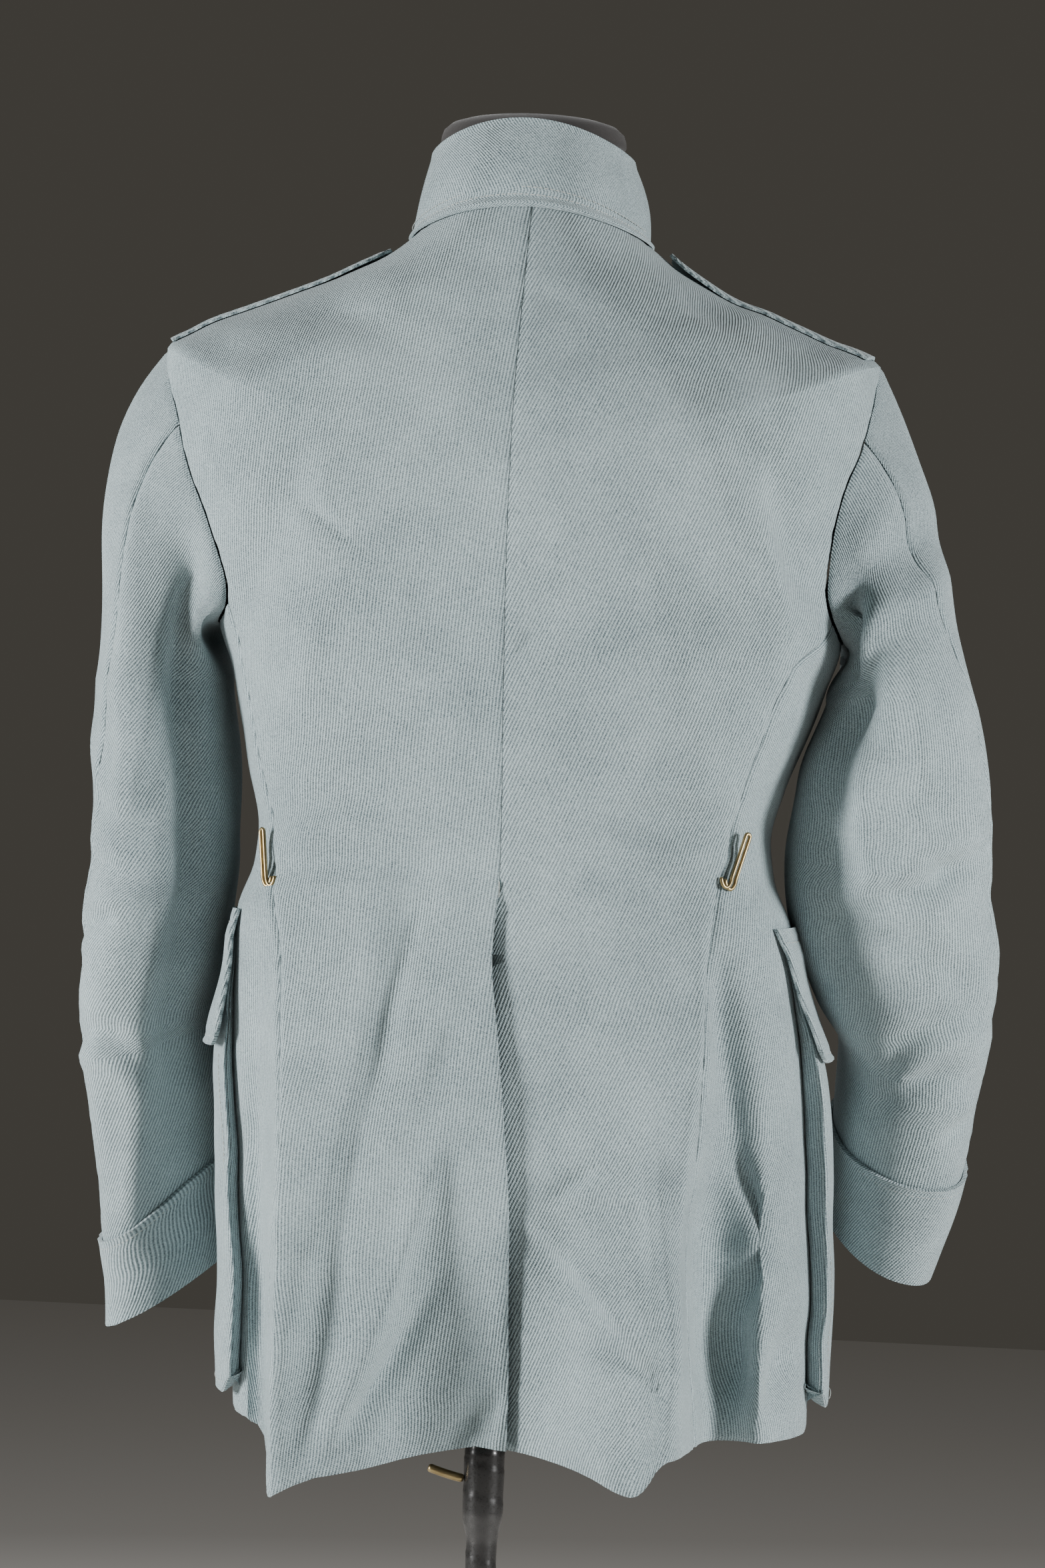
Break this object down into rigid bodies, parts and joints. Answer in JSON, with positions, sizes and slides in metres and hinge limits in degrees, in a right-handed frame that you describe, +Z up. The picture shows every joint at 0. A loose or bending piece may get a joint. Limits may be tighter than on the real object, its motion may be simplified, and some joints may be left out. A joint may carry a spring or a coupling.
{
  "type": "military tunic on a dress form",
  "caption": "Old grey-blue wool service tunic with a fall collar, shoulder straps, hip pockets, deep cuffs and brass belt hooks, worn on a limbless dress form with a pole stand.",
  "frame": {"origin": "on the floor, under the middle of the stand's round base", "axes": "+Z up, the tunic's front faces -Y, its back +Y, the wearer's left side is +X"},
  "size_m": [0.5488, 0.38, 1.5025],
  "materials": {
    "back_left": "wool twill, matt",
    "back_right": "wool twill, matt",
    "base": "satin black",
    "button_1": "aged, dull",
    "button_2": "aged, dull",
    "button_3": "aged, dull",
    "button_4": "aged, dull",
    "button_5": "aged, dull",
    "button_6": "aged, dull",
    "clamp_lever": "aged, dull",
    "collar_fall": "wool twill, matt",
    "collar_stand": "wool twill, matt",
    "cuff_left": "wool twill, matt",
    "cuff_right": "wool twill, matt",
    "flap_left": "wool twill, matt",
    "flap_right": "wool twill, matt",
    "form_foot_plate": "satin black",
    "form_neck_cap": "black jersey",
    "form_torso": "black jersey",
    "front_left": "wool twill, matt",
    "front_right": "wool twill, matt",
    "hook_left": "aged, dull",
    "hook_right": "aged, dull",
    "pocket_left": "wool twill, matt",
    "pocket_right": "wool twill, matt",
    "pole": "wound in shiny black tape",
    "side_left": "wool twill, matt",
    "side_right": "wool twill, matt",
    "strap_left": "wool twill, matt",
    "strap_right": "wool twill, matt",
    "top_sleeve_left": "wool twill, matt",
    "top_sleeve_right": "wool twill, matt",
    "under_sleeve_left": "wool twill, matt",
    "under_sleeve_right": "wool twill, matt"
  },
  "bodies": {
    "root": {"back_left": "back_left", "back_right": "back_right", "base": "base", "button_1": "button_1", "button_2": "button_2", "button_3": "button_3", "button_4": "button_4", "button_5": "button_5", "button_6": "button_6", "clamp_lever": "clamp_lever", "collar_fall": "collar_fall", "collar_stand": "collar_stand", "cuff_left": "cuff_left", "cuff_right": "cuff_right", "flap_left": "flap_left", "flap_right": "flap_right", "form_foot_plate": "form_foot_plate", "form_neck_cap": "form_neck_cap", "form_torso": "form_torso", "front_left": "front_left", "front_right": "front_right", "hook_left": "hook_left", "hook_right": "hook_right", "pocket_left": "pocket_left", "pocket_right": "pocket_right", "pole": "pole", "side_left": "side_left", "side_right": "side_right", "strap_left": "strap_left", "strap_right": "strap_right", "top_sleeve_left": "top_sleeve_left", "top_sleeve_right": "top_sleeve_right", "under_sleeve_left": "under_sleeve_left", "under_sleeve_right": "under_sleeve_right"}
  },
  "joints": []
}
